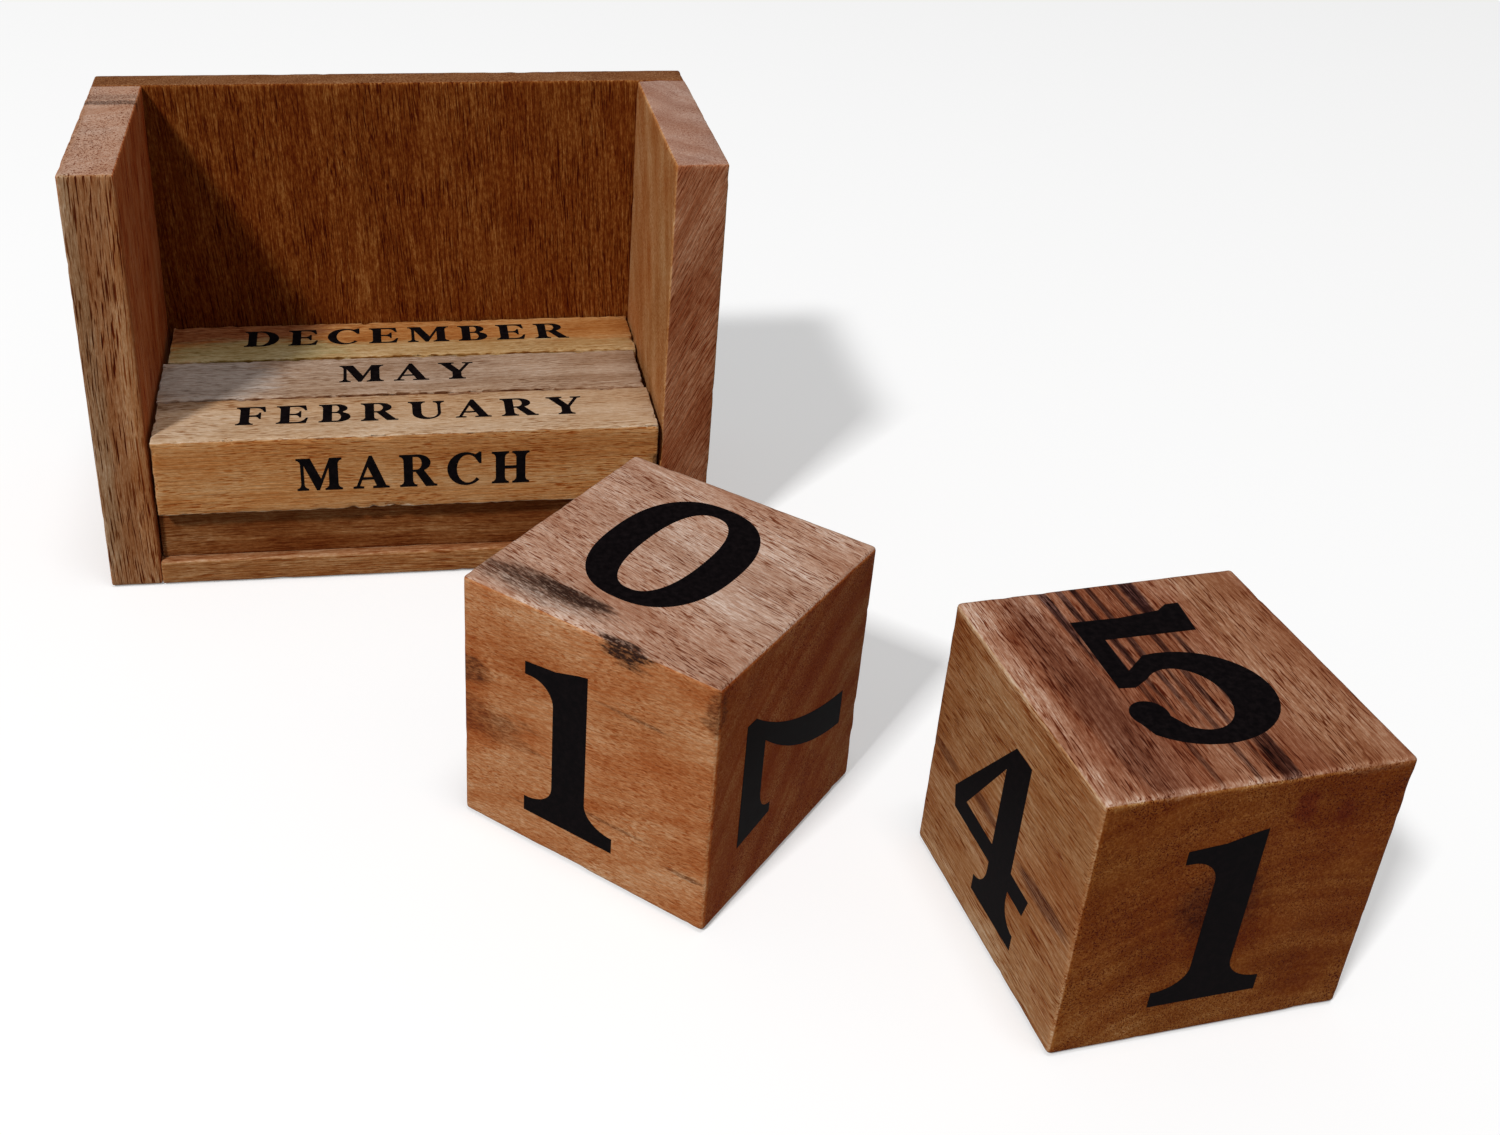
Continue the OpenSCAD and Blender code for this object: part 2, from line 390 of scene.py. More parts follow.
# Back board: a thinner and darker board of the same hardwood over the full width, grain upright,
# nailed to the rear edges of the side walls and of the riser.
size, centre = box_of("back_board")
back = worn_block("sawn_back_board", size, centre, 0, **board_edges)
dress(back, "back_board", "holder", timber(
    "back board wood", centre, upright, half_mm(size.z, size.y, size.x),
    # the paler upper end carries a painted sheen from the light above
    flats=(0.22, 0.06, 0.013), edges=(0.182, 0.044, 0.0052), ends=(0.226, 0.0915, 0.034),
    lean=(1, 0.95, 0.9), pith=(0, 60, 20), slope=(0, 4, 0),
    pores=1.0, pore_length=6, pore_depth=0.7, bands=0.05, streaks=0.18, mottle=0.06, grit=0.22,
))

# Brads: bright wire nails, driven flush. They keep the frame's shapes, and the boards
# get the bores that their heads fill.
scuff_cells = (2500, 2500, 2500)
dull_steel, bright_steel = (0.09, 0.08, 0.075, 1), (0.24, 0.22, 0.20, 1)
steel = bpy.data.materials.new("brad steel")
steel.use_nodes = True
tree = steel.node_tree
shader = tree.nodes["Principled BSDF"]
place = add_node(tree, "ShaderNodeTexCoord", {}).outputs["Object"]
scuffs = noise(tree, place, cells=scuff_cells, detail=4, roughness=0.6)[0]
tree.links.new(blend(tree, scuffs, dull_steel, bright_steel), shader.inputs["Base Color"])
tree.links.new(calc(tree, "MULTIPLY_ADD", scuffs, 0.3, 0.3), shader.inputs["Roughness"])
shader.inputs["Metallic"].default_value = 1
head_bore, head_depth, flush = 0.0025, 0.001, 0.00001
drill_turns = {"X": (0, math.pi / 2, 0), "Y": (math.pi / 2, 0, 0), "Z": (0, 0, 0)}
brad_rows = {
    "base_brads": (base, "Z", -1),
    "left_side_brads": (left, "X", -1),
    "right_side_brads": (right, "X", 1),
    "back_brads": (back, "Y", 1),
}
for node, (board, axis, side) in brad_rows.items():
    row = bpy.data.objects[node]
    for held in row.material_slots:
        held.material = steel
    # the heads are found as the outermost points of the row, each with its neighbours
    lane = "XYZ".index(axis)
    points = [row.matrix_world @ point.co for point in row.data.vertices]
    outer = max(side * point[lane] for point in points)
    rims = [point for point in points if side * point[lane] > outer - flush]
    spots = []
    for point in rims:
        if not any((point - spot).length < 2 * head_bore for spot in spots):
            near = [other for other in rims if (point - other).length < 2 * head_bore]
            spots.append(sum(near, Vector()) / len(near))
    for spot in spots:
        bpy.ops.object.select_all(action="DESELECT")
        bpy.ops.mesh.primitive_cylinder_add(
            vertices=32,
            radius=head_bore / 2,
            depth=2 * head_depth,
            location=spot,
            rotation=drill_turns[axis],
        )
        drill = bpy.context.object
        bore = board.modifiers.new("bore", "BOOLEAN")
        bore.operation = "DIFFERENCE"
        bore.solver = "EXACT"
        bore.object = drill
        bpy.context.view_layer.objects.active = board
        bpy.ops.object.modifier_apply(modifier=bore.name)
        bpy.data.objects.remove(drill)


# Month bars: three square bars of paler wood, grain along their length, sanded and laid loose
# on the riser. Each long face carries one month, printed in matt near-black ink.
def arc(x, y, rx, ry, start, end):
    """Points on an ellipse between two angles in degrees, about nine degrees apart."""
    steps = max(4, round(abs(end - start) / 9))
    angles = [math.radians(start + (end - start) * i / steps) for i in range(steps + 1)]
    return [(x + rx * math.cos(a), y + ry * math.sin(a)) for a in angles]


def bow(start, pull, end):
    """Points on a curve from start to end that leans towards pull."""
    points, steps = [], 12
    for i in range(steps + 1):
        s = i / steps
        shares = (1 - s) ** 2, 2 * s * (1 - s), s * s
        points.append(tuple(
            shares[0] * a + shares[1] * b + shares[2] * c for a, b, c in zip(start, pull, end)))
    return points


def foot(left, right, reach=11, thick=6, rise=14):
    """The foot of a stem with its two bracketed serifs, from left to right."""
    top = thick + rise
    return (arc(left - reach, top, reach, rise, 0, -90) + [(left - reach, 0), (right + reach, 0)]
            + arc(right + reach, top, reach, rise, 270, 180))


def head(left, right):
    """The head of a stem with its two bracketed serifs, from right to left."""
    return [(right + left - x, 100 - y) for x, y in foot(left, right)]


# Own serif capitals in hundredths of their height: a list of closed outlines, holes after.
serif = len(foot(11, 36)) // 2
toe, cap = foot(11, 36)[:serif], head(11, 36)[-serif:]
letters = {
    "A": [[(0, 0), (29, 0), (29, 6), (18, 8), (25, 27), (56, 27), (63, 8), (53, 6), (53, 0), (98, 0),
           (98, 6), (89, 8), (53, 102), (45, 102), (9, 8), (0, 6)],
          [(28, 35), (53, 35), (40.5, 67)]],
    "B": [toe + arc(50, 28, 36, 28, -90, 62) + arc(47, 76.5, 31, 23.5, -55, 90) + cap,
          [(36, 7), (36, 50)] + arc(47, 28.5, 13, 21.5, 90, -90),
          [(36, 57), (36, 93)] + arc(45, 75, 10, 18, 90, -90)],
    "C": [[(93, 66), (93, 102), (87, 102)] + arc(50, 50, 50, 52, 58, 318)
          + arc(56, 50, 30, 44, 320, 48) + [(87, 66)]],
    "D": [toe + arc(48, 50, 52, 50, -90, 90) + cap,
          [(36, 7), (36, 93)] + arc(46, 50, 26, 43, 90, -90)],
    "E": [toe + [(80, 0), (86, 30), (80, 30)] + bow((80, 30), (73, 7), (52, 7)) + [(36, 7), (36, 46)]
          + bow((48, 46), (60, 46), (62, 32)) + [(67, 32), (67, 68)] + bow((62, 68), (60, 54), (48, 54))
          + [(36, 54), (36, 93)] + bow((52, 93), (71, 93), (77, 71)) + [(83, 71), (79, 100)] + cap],
    "F": [foot(11, 36) + [(36, 44)] + bow((48, 44), (60, 44), (62, 31)) + [(67, 31), (67, 67)]
          + bow((62, 67), (60, 53), (48, 53)) + [(36, 53), (36, 93)] + bow((50, 93), (69, 93), (74, 70))
          + [(80, 70), (77, 100)] + cap],
    "G": [[(93, 66), (93, 102), (87, 102)] + arc(50, 50, 50, 52, 58, 300)
          + [(93, 10), (93, 41), (102, 43), (102, 48), (56, 48), (56, 43), (67, 41), (67, 12)]
          + arc(56, 50, 30, 44, 284, 48) + [(87, 66)]],
    "H": [foot(11, 36) + [(36, 46), (67, 46)] + foot(67, 92) + head(67, 92)
          + [(67, 55), (36, 55)] + head(11, 36)],
    "I": [foot(11, 36) + head(11, 36)],
    "J": [head(30, 55) + arc(22, 25, 8, 18, 0, -75) + arc(10, 17, 10, 10, -10, 250)
          + arc(24, 25, 31, 28, -110, 0)],
    "L": [toe + [(78, 0), (84, 32), (78, 32)] + bow((78, 32), (70, 7), (50, 7)) + [(36, 7)]
          + head(11, 36)],
    "M": [foot(11, 20) + [(20, 78), (52, 0), (60, 0), (86, 70)] + foot(86, 111) + head(86, 111)[:serif]
          + [(89, 100), (65, 36), (38, 100)] + cap],
    "N": [foot(11, 20) + [(20, 72), (80, -2), (94, -2)] + head(85, 94) + [(85, 32), (35, 100)] + cap],
    "O": [arc(52, 50, 52, 52, 0, 351), arc(52, 50, 26, 45, 0, 351)],
    "P": [foot(11, 36) + [(36, 43)] + arc(52, 71.5, 34, 28.5, -90, 90) + cap,
          [(36, 93), (36, 50)] + arc(46, 71.5, 14, 21.5, -90, 90)],
    "R": [foot(11, 36) + [(36, 46), (43, 46), (70, 0), (101, 0), (101, 6), (94, 7)]
          + arc(50, 74, 34, 26, -62, 90) + cap,
          [(36, 93), (36, 53)] + arc(46, 73, 14, 20, -90, 90)],
    "S": [[(65, 68), (65, 102), (59, 102)] + arc(35, 73, 32, 29, 62, 215) + bow((9, 56), (20, 47), (36, 43))
          + bow((36, 43), (50, 39), (50, 24)) + arc(36, 24, 15, 18, 0, -90) + bow((36, 6), (16, 8), (9, 34))
          + [(2, 34), (2, -2), (8, -2)] + arc(36, 27, 36, 29, 240, 400) + bow((62, 47), (54, 55), (38, 59))
          + bow((38, 59), (24, 63), (24, 78)) + arc(37, 79, 13, 16, 180, 90)
          + bow((37, 95), (52, 93), (59, 68))],
    "T": [foot(34, 59) + [(59, 93)] + bow((68, 93), (82, 93), (87, 70))
          + [(93, 70), (90, 100), (3, 100), (0, 70), (6, 70)] + bow((6, 70), (11, 93), (25, 93))
          + [(34, 93)]],
    "U": [arc(50, 34, 39, 36, 180, 360) + head(80, 89) + arc(58, 34, 22, 27, 360, 180) + head(11, 36)],
    "V": [[(0, 100), (0, 94), (9, 92), (44, -2), (52, -2), (88, 92), (98, 94), (98, 100), (68, 100),
           (68, 94), (79, 92), (57, 35), (36, 92), (46, 94), (46, 100)]],
    "Y": [foot(38, 63) + [(63, 42), (88, 92), (98, 94), (98, 100), (68, 100), (68, 94), (78, 92), (58, 53),
                          (36, 92), (45, 94), (45, 100), (0, 100), (0, 94), (8, 92), (38, 42)]],
}

soak_cells = (900, 900, 900)
full_ink, dry_ink = (0.0025, 0.0018, 0.0022, 1), (0.008, 0.0055, 0.006, 1)
ink = bpy.data.materials.new("matt ink")
ink.use_nodes = True
tree = ink.node_tree
shader = tree.nodes["Principled BSDF"]
place = add_node(tree, "ShaderNodeTexCoord", {}).outputs["Object"]
soak = noise(tree, place, cells=soak_cells, detail=5, roughness=0.7)[0]
tree.links.new(blend(tree, fade(tree, soak, 0.35, 0.75), full_ink, dry_ink), shader.inputs["Base Color"])
tree.links.new(calc(tree, "MULTIPLY_ADD", soak, 0.3, 0.5), shader.inputs["Roughness"])
crust = add_node(tree, "ShaderNodeBump", {"Height": soak, "Strength": 0.3, "Distance": 0.0001})
tree.links.new(crust.outputs[0], shader.inputs["Normal"])
shader.inputs["Specular IOR Level"].default_value = 0.02
ink_film, ink_weld = 0.00004, 0.000001


def print_on(name, outlines, height, middle, right, up, body):
    """A film of ink in the given outlines, centred on a face of the frame and flush with it."""
    low = [min(point[i] for line in outlines for point in line) for i in (0, 1)]
    high = [max(point[i] for line in outlines for point in line) for i in (0, 1)]
    scale = height / (high[1] - low[1])
    drawing = bpy.data.curves.new(name, "CURVE")
    drawing.dimensions = "2D"
    drawing.fill_mode = "BOTH"
    drawing.extrude = ink_film / 2
    for line in outlines:
        spline = drawing.splines.new("POLY")
        spline.points.add(len(line) - 1)
        spline.use_cyclic_u = True
        for point, (x, y) in zip(spline.points, line):
            x_place = (x - (low[0] + high[0]) / 2) * scale
            y_place = (y - (low[1] + high[1]) / 2) * scale
            point.co = (x_place, y_place, 0, 1)
    film = bpy.data.objects.new(name, drawing)
    bpy.context.collection.objects.link(film)
    bpy.ops.object.select_all(action="DESELECT")
    film.select_set(True)
    bpy.context.view_layer.objects.active = film
    bpy.ops.object.convert(target="MESH")
    film = bpy.context.object
    right, up = Vector(right), Vector(up)
    out = right.cross(up)
    facing = Matrix((right, up, out)).transposed().to_4x4()
    film.matrix_world = Matrix.Translation(Vector(middle) - out * ink_film / 2) @ facing
    bpy.ops.object.transform_apply(location=True, rotation=True, scale=True)
    bpy.ops.object.mode_set(mode="EDIT")
    bpy.ops.mesh.select_all(action="SELECT")
    bpy.ops.mesh.remove_doubles(threshold=ink_weld)
    bpy.ops.mesh.normals_make_consistent(inside=False)
    bpy.ops.object.mode_set(mode="OBJECT")
    film.data.materials.clear()
    film.data.materials.append(ink)
    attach(film, body)


bar_edges = dict(ease=0.0004, nibble=0.0008, bite=0.0026, cell=0.0006)
cap_height, letter_gap = 0.0079, 28
# painted shade along the upper edges where two bars meet, without its strength
front_joint_shade = ((0, -9, 9), (90, 0.8, 1.2), 0.8)
rear_joint_shade = ((0, 9, 9), (90, 0.8, 1.2), 0.8)
# each bar's stains lie on its top: a grey-brown spot, a pale end that is painted light, and yellow, dark and
# olive clouds, the olive one partly painted light
bar_looks = {
    "front": dict(
        # the top and underside are paler and greyer than the front and back, a painted sheen from the light
        # above
        flats=(0.503, 0.336, 0.207), edges=(0.518, 0.236, 0.082), ends=(0.36, 0.19, 0.09),
        lean=(1, 0.95, 0.88), pith=(0, 20, -80),
        pores=0.8, pore_length=3, pore_depth=1.3, plain=0.25, streaks=0.1, mottle=0.12,
        # a pale left end, painted light that lifts the key lamp's shadow there, and painted shade along the
        # joint behind
        patches=[((-46, 0, 9), (16, 9, 3), 1.0, -0.2), (*rear_joint_shade, 2.2)],
        stains=[((-48, 7, 9), (9, 4, 3), 1.0, 0.45, (0.16, 0.11, 0.085))],
    ),
    "middle": dict(
        flats=(0.378, 0.246, 0.16), edges=(0.38, 0.21, 0.12), ends=(0.27, 0.15, 0.085),
        lean=(0.97, 1, 1.05), pith=(0, -40, 70),
        pore_length=3, pore_depth=1.1, streaks=0.15,
        # painted shade along both joints
        patches=[(*rear_joint_shade, 2.0), (*front_joint_shade, 2.0)],
        # a pale grey left end, painted light that lifts the key lamp's shadow there
        stains=[((-42, 0, 9), (19, 13, 3), 1.0, 0.75, (0.44, 0.39, 0.35))],
    ),
    "rear": dict(
        flats=(0.41, 0.18, 0.055), edges=(0.40, 0.20, 0.075), ends=(0.26, 0.13, 0.06),
        lean=(1, 0.95, 0.9), pith=(0, 35, 60),
        pore_length=3, streaks=0.15,
        # painted shade along the joint in front
        patches=[(*front_joint_shade, 2.2)],
        stains=[
            ((0, -6.6, 9), (90, 6.8, 3), 1.2, 0.65, (0.43, 0.30, 0.14)),
            ((-40, 6, 9), (30, 9, 3), 1.0, 0.8, (0.20, 0.06, 0.026)),
            # an olive cloud, its greenish tone real and made paler as painted light in the key lamp's shadow
            ((-34, -5, 9), (26, 8, 3), 1.2, 0.65, (0.36, 0.31, 0.15)),
        ],
    ),
}
# months on the front, top, back and underside of each bar; a few were printed off the middle
bar_months = {
    "front": ("MARCH", "FEBRUARY", "JANUARY", "APRIL"),
    "middle": ("JUNE", "MAY", "AUGUST", "JULY"),
    "rear": ("NOVEMBER", "DECEMBER", "OCTOBER", "SEPTEMBER"),
}
month_shift = Vector((0.0008, 0, 0))
month_rise = {"FEBRUARY": 0.0012, "MAY": 0.0010, "DECEMBER": 0.0015}
rightwards = (1, 0, 0)
bar_faces = (
    (Vector((0, -1, 0)), Vector((0, 0, 1))),
    (Vector((0, 0, 1)), Vector((0, 1, 0))),
    (Vector((0, 1, 0)), Vector((0, 0, -1))),
    (Vector((0, 0, -1)), Vector((0, -1, 0))),
)
for row, looks in bar_looks.items():
    node, body, slot = "month_bar_" + row, row + "_bar", row + "_bar_wood"
    size, centre = box_of(node)
    wood_size = size - Vector((0, 2, 2)) * ink_film
    bar = worn_block("sanded_" + row + "_bar", wood_size, centre, 0, **bar_edges)
    dress(bar, node, body, timber(row + " bar wood", centre, lying, half_mm(*size), **looks))
    for word, (out, up) in zip(bar_months[row], bar_faces):
        outlines, start = [], 0
        for letter in word:
            outlines += [[(x + start, y) for x, y in line] for line in letters[letter]]
            start += letter_gap + max(x for line in letters[letter] for x, y in line)
        middle = centre + out * size.z / 2 + month_shift + up * month_rise.get(word, 0)
        print_on("month_" + word.lower(), outlines, cap_height, middle, rightwards, up, body)


# Date cubes: two solid cubes sawn from a square post, grain from front to back, with sanded edges.
# Each face carries one numeral in the same ink, a 6 read upside down as 9.
def oval(x, y, rx, ry):
    """Points round an ellipse with fuller shoulders, five degrees apart."""
    points, fullness = [], 0.84
    for degrees in range(0, 360, 5):
        c = math.cos(math.radians(degrees))
        s = math.sin(math.radians(degrees))
        across = rx * math.copysign(abs(c) ** fullness, c)
        upward = ry * math.copysign(abs(s) ** fullness, s)
        points.append((x + across, y + upward))
    return points


numerals = {
    0: [oval(36.5, 50, 36.5, 50), oval(36.5, 50, 17, 40)],
    1: [foot(17, 37, 17, 9, 13) + [(37, 100), (32, 99), (18, 95), (0, 93.5), (0, 86)]
        + arc(4, 73, 13, 13, 90, 0)],
    2: [arc(36, 70, 33, 31, 165, -30) + bow((62, 50), (54, 37), (28, 19)) + bow((50, 19), (62, 19), (66, 31))
        + [(72, 31), (68, 0), (3, 0), (3, 7)] + bow((3, 7), (44, 40), (44, 68)) + arc(30, 70, 14, 22, 0, 140)
        + arc(13, 70, 11, 11, 60, -190)],
    3: [arc(34, 75, 29, 25, 160, -55) + arc(36, 29, 36, 29, 50, -150) + arc(12, 25, 11, 11, 215, -30)
        + arc(34, 28, 15, 22, 230, 440) + [(22, 50), (22, 56)] + arc(33, 76, 11, 18, -80, 140)
        + arc(12, 78, 10, 10, 50, -190)],
    4: [foot(42, 62, 11, 9, 13)
        + [(62, 27), (77, 26), (80, 37), (62, 38), (62, 100), (47, 100), (0, 39), (3, 28), (42, 27)],
        [(42, 84), (42, 38), (13, 39)]],
    5: [[(7, 96), (32, 95), (54, 97), (60, 101), (67, 101), (64, 79), (17, 80), (16, 56)]
        + arc(35, 33, 39.5, 33, 100, -140) + arc(9.5, 25.5, 9, 9, 215, -20) + arc(33, 32, 18, 22, 235, 490)
        + [(13, 44), (5, 45)]],
    6: [bow((63, 101), (3, 94), (1, 36)) + arc(37, 33, 36, 33, 180, 460) + bow((26, 60), (30, 88), (65, 95)),
        arc(38, 32, 15, 26, 0, 351)],
    7: [[(3, 70), (0, 100), (75, 100)] + bow((75, 92), (41, 52), (35, 0)) + bow((14, 0), (20, 44), (55, 81))
        + bow((22, 81), (10, 80), (9, 70))],
    8: [arc(37, 76, 29, 25, -55, 235) + arc(37, 29, 36, 29, 125, 415),
        arc(37, 77, 13, 17, 0, 351), arc(37, 28, 17, 21, 0, 351)],
}
cube_size, numeral_height = 0.05, 0.0338
cube_edges = dict(ease=0.0008, nibble=0.00015, bite=0.006, cell=0.001)
cube_turns = {"left": 47.3, "right": 6.6}
heart = (0.04, 0.012, 0.009)
brown = (0.13, 0.045, 0.025)
tan = (0.33, 0.155, 0.075)
red = (0.16, 0.02, 0.006)
cube_looks = {
    "left": dict(
        # the top and underside are paler and greyer than the sides, a painted sheen from the light above
        flats=(0.45, 0.27, 0.19), edges=(0.50, 0.202, 0.077), ends=(0.405, 0.109, 0.024),
        lean=(1, 0.93, 0.88), pith=(0, 55, 55), slope=(0, -4, 10),
        pores=1.0, pore_length=4, pore_depth=1.3, plain=0.7,
        bands=0.13, streaks=0.14, mottle=0.18, grit=0.2,
        # handled dark towards the rear of the left face, rubbed pale on the top and the right edge
        patches=[
            ((24, 25, 3), (6, 5, 12), 0.9, 0.35), ((-25, 6, 25), (30, 8, 5), 1.2, -0.15),
            ((14, 27, 15), (14, 4, 9), 1.2, 0.22), ((22, 27, -7), (9, 4, 10), 1.2, 0.15),
            ((0, -10, 25), (40, 6, 2), 0.8, -0.12), ((-22, 12, 25), (9, 7, 2), 0.8, 0.12),
            ((-25, -21, -5), (3, 9, 26), 0.8, -0.12),
        ],
        marks=[
            # a long smear on the top
            ((14, 19.8, 25), (18, 4.6, 1), 1.2, 0.45),
            ((11, 19.3, 25), (15, 3, 1), 1.0, 0.55),
            ((8, 18.7, 25), (10, 1.9, 1), 0.9, 0.85),
            # smudges along the edges of the left face
            ((-7.5, 25, 24.6), (6.5, 1.6, 3.4), 2.0, 0.9),
            ((25, 26, 6), (7, 3, 4), 2.2, 0.5),
            ((20, 26, -3), (12, 3, 5), 2.4, 0.35),
            ((-21, 26, -15), (6, 3, 0.8), 0.8, 0.45),
            ((-24.5, 25, 20), (2.5, 3, 5), 2.2, 0.45),
            # thin dark lines along its grain
            ((-10, 25, 12), (10, 3, 0.5), 1.2, 0.4),
            ((-4, 25, -12), (12, 3, 0.5), 1.4, 0.35),
            ((8, 25, -17), (10, 3, 0.4), 1.2, 0.35),
        ],
    ),
    "right": dict(
        flats=(0.258, 0.097, 0.048), edges=(0.412, 0.183, 0.070), ends=(0.228, 0.062, 0.009),
        lean=(1, 0.92, 0.9), pith=(0, 10, 60), pitch=3.5,
        pores=1.0, pore_length=4, bands=0.08, streaks=0.18, mottle=0.16,
        patches=[
            # rubbed pale along the edges and corners of the top
            ((0, 23.5, 25), (60, 3, 2), 0.6, -0.17),
            ((0, -18, 25), (60, 9, 8), 0.8, -0.1),
            ((22, 22, 25), (9, 7, 2), 0.8, -0.3),
            ((23, 0, 25), (7, 40, 2), 0.8, -0.12),
            ((-22, 22, 25), (7, 6, 2), 0.8, -0.2),
            # the left face, pale at its foot and darker at its rear
            ((0, 25, -22), (40, 3, 8), 0.8, -0.14),
            ((22, 25, 12), (9, 3, 22), 0.8, 0.12),
            # the front, clouded dark, with a pale foot and upper edge
            ((-25, 0, -2), (3, 9, 13), 1.0, 0.22),
            ((-25, -15, 20), (3, 13, 8), 1.0, 0.18),
            ((-25, 18, -14), (3, 10, 15), 1.0, -0.12),
            ((-25, 0, -23), (3, 34, 6), 0.8, -0.12),
            ((-25, 0, 25), (1.6, 40, 1.2), 1.6, -0.3),
            ((-25, 12, -3), (3, 8, 10), 1.2, 0.13),
            ((-25, -16, -16), (3, 6, 7), 1.2, 0.15),
        ],
        stains=[
            # broad bands on the top
            ((2, 15.5, 25), (36, 5, 2), 0.8, 0.55, brown),
            ((-12, 13, 25), (20, 6, 2), 0.8, 0.35, brown),
            ((0, -18, 25), (60, 9, 2), 0.8, 0.4, tan),
            # narrow heart streaks between them, along the grain
            ((20, 10.4, 25), (20, 1.1, 0.8), 0.8, 0.95, heart),
            ((22, 7.3, 25), (14, 0.8, 0.8), 0.8, 0.9, heart),
            ((14, 4.8, 25), (26, 0.9, 0.8), 0.8, 0.9, heart),
            ((12, 2.2, 25), (30, 0.8, 0.8), 0.8, 0.85, heart),
            ((22, -4.6, 25), (15, 1.8, 0.8), 0.8, 1.0, heart),
            ((4, -2.0, 25), (32, 0.8, 0.8), 0.8, 0.8, heart),
            ((-8, -5.5, 25), (30, 0.9, 0.8), 0.8, 0.85, heart),
            ((-12, 0.5, 25), (22, 0.7, 0.8), 0.8, 0.7, heart),
            ((-22, -4.0, 25), (12, 1.6, 0.8), 0.8, 0.8, heart),
            ((-8, 6.6, 25), (26, 0.7, 0.8), 0.8, 0.6, heart),
            # a broken streak across the left face
            ((-16, 25, -2.5), (10, 3, 1.9), 1.0, 0.65, brown),
            ((6, 25, -1.5), (7, 3, 1.7), 1.0, 0.6, brown),
            ((20, 25, -2.5), (7, 3, 1.3), 1.0, 0.5, brown),
            # the heart's end and two red specks on the front
            ((-25, 2, 2), (3, 9, 9), 0.8, 0.4, heart),
            ((-25, -8, 19), (3, 2.5, 4), 0.8, 0.6, red),
            ((-25, -15, 17), (3, 2, 2.5), 1.4, 0.5, red),
        ],
    ),
}
# numeral, its face, the direction of its head on that face, and its shift to the right and up
cube_numerals = {
    "left": (
        (0, "+z", "+x", -0.0013, 0.0020),
        (1, "-x", "+z", -0.0027, -0.0012),
        (7, "-y", "-x", -0.0007, -0.0012),
        (8, "+x", "+z", 0, 0),
        (2, "+y", "+z", 0, 0),
        (6, "-z", "+y", 0, 0),
    ),
    "right": (
        (5, "+z", "+y", 0.0007, 0.0006),
        (4, "-x", "+z", -0.0017, -0.0015),
        (1, "-y", "+z", -0.0005, -0.0011),
        (2, "+x", "+z", 0, 0),
        (3, "+y", "+z", 0, 0),
        (0, "-z", "+y", 0, 0),
    ),
}
for hand, turn in cube_turns.items():
    node, body, slot = "date_cube_" + hand, hand + "_cube", hand + "_cube_wood"
    centre = box_of(node)[1]
    wood_size = Vector((1, 1, 1)) * (cube_size - 2 * ink_film)
    cube = worn_block("sanded_" + hand + "_cube", wood_size, centre, turn, **cube_edges)
    lengthways = (0, 0, turn + 90)
    half = half_mm(cube_size, cube_size, cube_size)
    dress(cube, node, body, timber(
        hand + " cube wood", centre, lengthways, half, **cube_looks[hand]))
    spin = Matrix.Rotation(math.radians(turn), 3, "Z")
    ways = {}
    for axis, way in (("x", (1, 0, 0)), ("y", (0, 1, 0)), ("z", (0, 0, 1))):
        ways["+" + axis] = spin @ Vector(way)
        ways["-" + axis] = -ways["+" + axis]
    for numeral, face, up, shift_right, shift_up in cube_numerals[hand]:
        out, up = ways[face], ways[up]
        right = up.cross(out)
        middle = centre + out * cube_size / 2 + right * shift_right + up * shift_up
        name = f"{hand}_cube_numeral_{numeral}"
        print_on(name, numerals[numeral], numeral_height, middle, right, up, body)

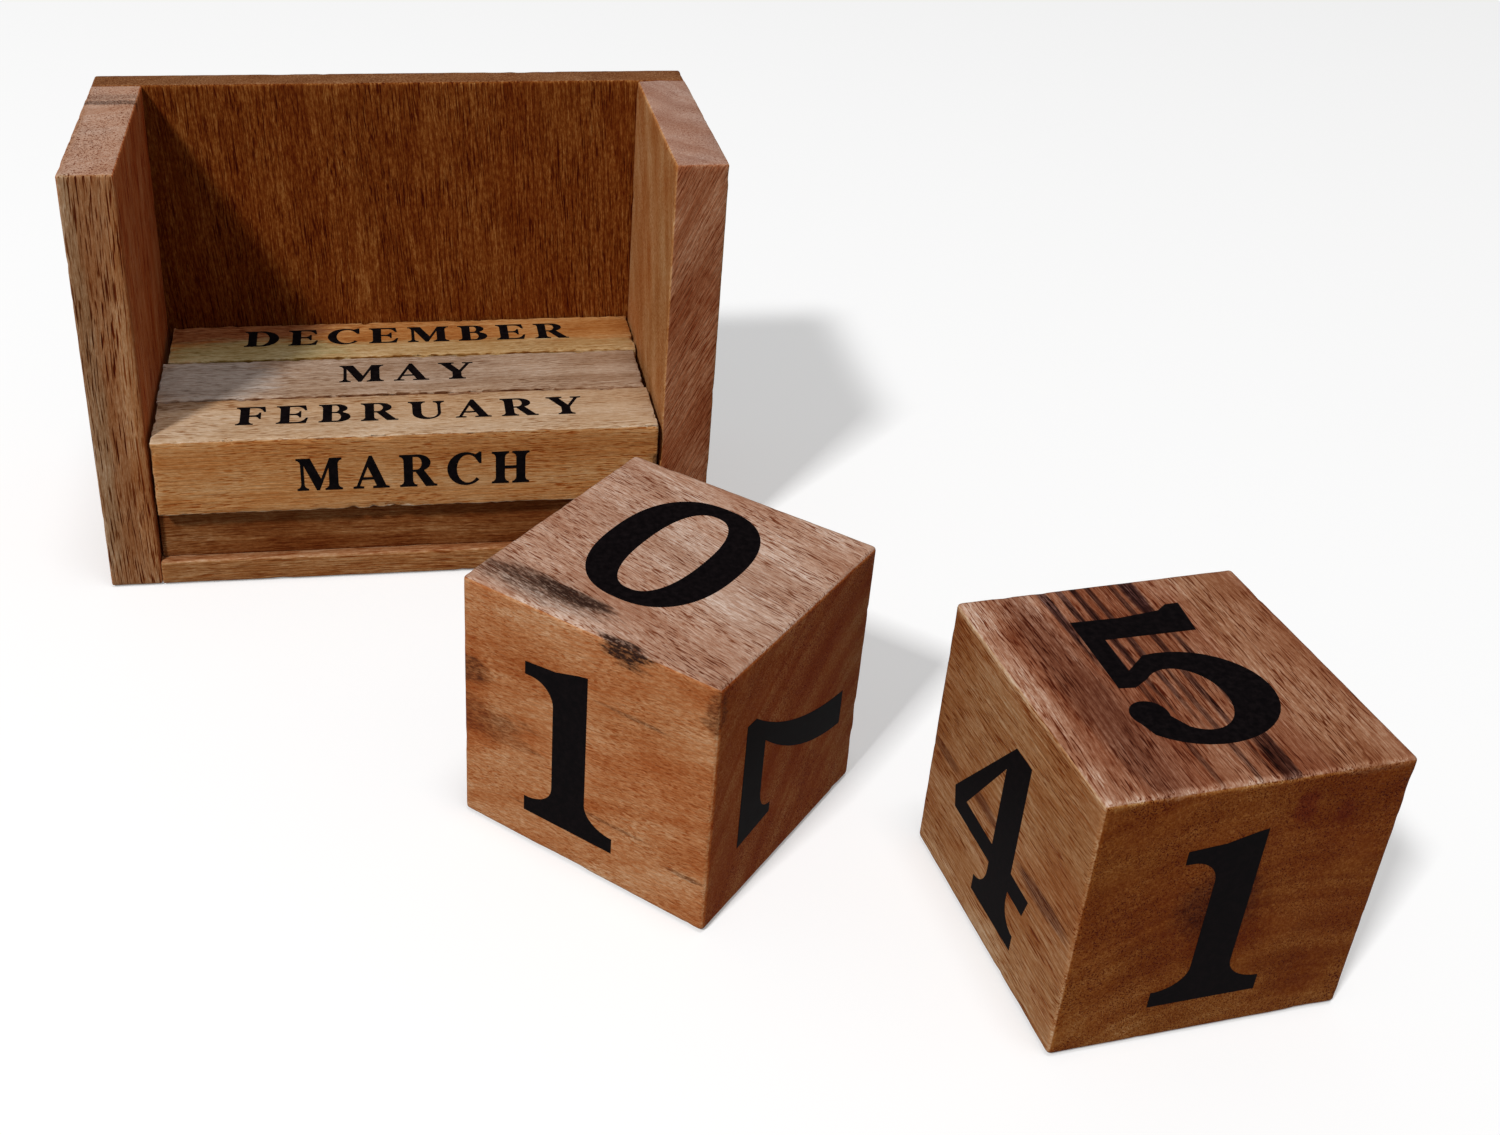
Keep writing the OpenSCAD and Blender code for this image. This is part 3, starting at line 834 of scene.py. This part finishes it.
# Floor and backdrop: one wide pale sheet. Seen directly it is white with the object's soft
# shadow on it, and it throws less light back than it shows.
sheet_size, sheet_drop = 6, 0.0003
white, pale, grey = (1, 1, 1, 1), (0.78, 0.78, 0.78, 1), (0.3, 0.3, 0.3, 1)
lift_level = 0.26
bpy.ops.object.select_all(action="DESELECT")
bpy.ops.mesh.primitive_plane_add(size=sheet_size, location=(0, 0, -sheet_drop))
sheet = bpy.context.object
sheet.name = "studio_sheet"
paper = bpy.data.materials.new("studio sheet")
paper.use_nodes = True
tree = paper.node_tree
tree.nodes.remove(tree.nodes["Principled BSDF"])
rays = add_node(tree, "ShaderNodeLightPath", {}).outputs
mirrored = calc(tree, "MAXIMUM", rays["Is Glossy Ray"], rays["Is Transmission Ray"])
seen = calc(tree, "MAXIMUM", rays["Is Camera Ray"], mirrored)
shown = add_node(tree, "ShaderNodeBsdfDiffuse", {"Color": pale})
lift = add_node(tree, "ShaderNodeEmission", {"Color": white, "Strength": lift_level})
bright = add_node(tree, "ShaderNodeAddShader", {0: shown.outputs[0], 1: lift.outputs[0]})
dim = add_node(tree, "ShaderNodeBsdfDiffuse", {"Color": grey})
choice = add_node(tree, "ShaderNodeMixShader", {0: seen, 1: dim.outputs[0], 2: bright.outputs[0]})
tree.links.new(choice.outputs[0], tree.nodes["Material Output"].inputs["Surface"])
sheet.data.materials.append(paper)

# Light: a key lamp from the upper left front, a broad softer lamp above, and a low even fill
# from all round.
fill_level, lamp_distance = 0.17, 4
world = bpy.data.worlds.new("studio")
world.use_nodes = True
fill = world.node_tree.nodes["Background"].inputs
fill["Color"].default_value = white
fill["Strength"].default_value = fill_level
bpy.context.scene.world = world
for label, direction, breadth, level in (
    ("key", (-0.45, -0.50, 0.74), 0.4, 0.68),
    ("top", (0.05, -0.12, 1), 0.9, 0.27),
):
    direction = Vector(direction).normalized()
    # the level is the brightness of a white sheet that faces the lamp
    lamp = bpy.data.lights.new(label + " lamp", "AREA")
    lamp.size = breadth
    lamp.energy = level * math.pi ** 2 * lamp_distance ** 2
    lit = bpy.data.objects.new(label + "_lamp", lamp)
    lit.location = direction * lamp_distance
    lit.rotation_euler = direction.to_track_quat("Z", "Y").to_euler()
    bpy.context.collection.objects.link(lit)

# Camera: a hand-held view from the front and a little above, in the perspective of a short
# distance, fitted to the corners of the holder and the cubes.
view = bpy.data.cameras.new("camera")
view.sensor_width = 36
view.lens = 41.03
view.shift_x = 0.1
view.shift_y = -0.0587
view.clip_start = 0.01
eye = bpy.data.objects.new("camera", view)
eye.location = (-0.00468, -0.33641, 0.20650)
eye.rotation_euler = [math.radians(angle) for angle in (59.171, -1.707, -7.235)]
bpy.context.collection.objects.link(eye)
bpy.context.scene.camera = eye
bpy.context.scene.view_settings.view_transform = "Standard"
